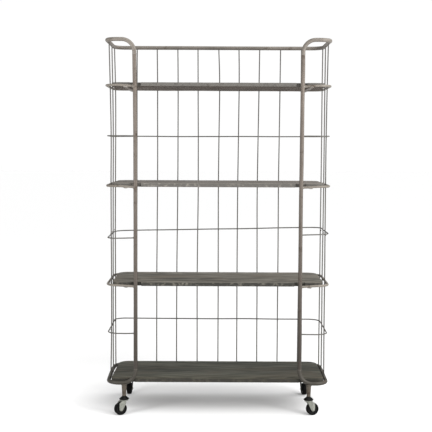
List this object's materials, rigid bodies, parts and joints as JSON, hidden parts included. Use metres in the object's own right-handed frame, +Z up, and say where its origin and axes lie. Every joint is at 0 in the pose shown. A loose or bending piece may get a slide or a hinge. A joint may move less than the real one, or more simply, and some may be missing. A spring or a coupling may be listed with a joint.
{
  "type": "rolling display rack",
  "caption": "Tall rolling display rack: a bent-tube frame with a wire back and wire sides, wooden shelves and swivel casters.",
  "frame": {"origin": "on the floor under the middle of the rack's outline", "axes": "+Z up, +X to the right seen from the open front, +Y to the wire back"},
  "size_m": [1.132, 0.4564, 1.896],
  "materials": {
    "frame_steel": "aged grey-beige steel with brown stains",
    "wire_steel": "dull drawn wire, darker at the welds",
    "board_wood": "weathered grey boards with brown patches",
    "screw_steel": "plain",
    "cap_black": "black, half gloss",
    "ball_steel": "polished",
    "fork_zinc": "zinc plated, pressed",
    "hub_plastic": "dark grey moulded",
    "tyre_rubber": "matt black"
  },
  "bodies": {
    "rack": {"top_hoop": "frame_steel", "bottom_hoop": "frame_steel", "post_left": "frame_steel", "post_right": "frame_steel", "wire_ring_1": "wire_steel", "wire_ring_2": "wire_steel", "wire_ring_3": "wire_steel", "back_wires": "wire_steel", "side_wires_left": "wire_steel", "side_wires_right": "wire_steel", "shelf_ring_2": "frame_steel", "shelf_ring_3": "frame_steel", "shelf_ring_4": "frame_steel", "straps_1": "frame_steel", "straps_2": "frame_steel", "straps_3": "frame_steel", "straps_4": "frame_steel", "board_1": "board_wood", "board_2": "board_wood", "board_3": "board_wood", "board_4": "board_wood", "board_screws": "screw_steel", "leg_front_left": "frame_steel", "kingpin_front_left": "screw_steel", "swivel_cap_front_left": "cap_black", "swivel_balls_front_left": "ball_steel", "leg_front_right": "frame_steel", "kingpin_front_right": "screw_steel", "swivel_cap_front_right": "cap_black", "swivel_balls_front_right": "ball_steel", "leg_rear_left": "frame_steel", "kingpin_rear_left": "screw_steel", "swivel_cap_rear_left": "cap_black", "swivel_balls_rear_left": "ball_steel", "leg_rear_right": "frame_steel", "kingpin_rear_right": "screw_steel", "swivel_cap_rear_right": "cap_black", "swivel_balls_rear_right": "ball_steel"},
    "caster_fork_front_left": {"fork_front_left": "fork_zinc", "axle_rivet_front_left": "fork_zinc", "axle_sleeve_front_left": "screw_steel"},
    "caster_wheel_front_left": {"wheel_hub_front_left": "hub_plastic", "tyre_front_left": "tyre_rubber"},
    "caster_fork_front_right": {"fork_front_right": "fork_zinc", "axle_rivet_front_right": "fork_zinc", "axle_sleeve_front_right": "screw_steel"},
    "caster_wheel_front_right": {"wheel_hub_front_right": "hub_plastic", "tyre_front_right": "tyre_rubber"},
    "caster_fork_rear_left": {"fork_rear_left": "fork_zinc", "axle_rivet_rear_left": "fork_zinc", "axle_sleeve_rear_left": "screw_steel"},
    "caster_wheel_rear_left": {"wheel_hub_rear_left": "hub_plastic", "tyre_rear_left": "tyre_rubber"},
    "caster_fork_rear_right": {"fork_rear_right": "fork_zinc", "axle_rivet_rear_right": "fork_zinc", "axle_sleeve_rear_right": "screw_steel"},
    "caster_wheel_rear_right": {"wheel_hub_rear_right": "hub_plastic", "tyre_rear_right": "tyre_rubber"}
  },
  "joints": [
    {"name": "swivel_front_left", "type": "hinge", "parent": "rack", "child": "caster_fork_front_left", "pos_m": [-0.473, -0.19678, 0.08], "axis": [0, 0, 1], "continuous": true},
    {"name": "wheel_spin_front_left", "type": "hinge", "parent": "caster_fork_front_left", "child": "caster_wheel_front_left", "pos_m": [-0.49113, -0.20523, 0.0315], "axis": [0.4226, -0.9063, 0], "continuous": true},
    {"name": "swivel_front_right", "type": "hinge", "parent": "rack", "child": "caster_fork_front_right", "pos_m": [0.464, -0.19678, 0.08], "axis": [0, 0, 1], "continuous": true},
    {"name": "wheel_spin_front_right", "type": "hinge", "parent": "caster_fork_front_right", "child": "caster_wheel_front_right", "pos_m": [0.48356, -0.19262, 0.0315], "axis": [-0.2079, 0.9781, 0], "continuous": true},
    {"name": "swivel_rear_left", "type": "hinge", "parent": "rack", "child": "caster_fork_rear_left", "pos_m": [-0.481, 0.20322, 0.08], "axis": [0, 0, 1], "continuous": true},
    {"name": "wheel_spin_rear_left", "type": "hinge", "parent": "caster_fork_rear_left", "child": "caster_wheel_rear_left", "pos_m": [-0.4817, 0.18324, 0.0315], "axis": [0.9994, -0.0349, 0], "continuous": true},
    {"name": "swivel_rear_right", "type": "hinge", "parent": "rack", "child": "caster_fork_rear_right", "pos_m": [0.474, 0.20322, 0.08], "axis": [0, 0, 1], "continuous": true},
    {"name": "wheel_spin_rear_right", "type": "hinge", "parent": "caster_fork_rear_right", "child": "caster_wheel_rear_right", "pos_m": [0.47678, 0.18342, 0.0315], "axis": [0.9903, 0.1392, 0], "continuous": true}
  ]
}
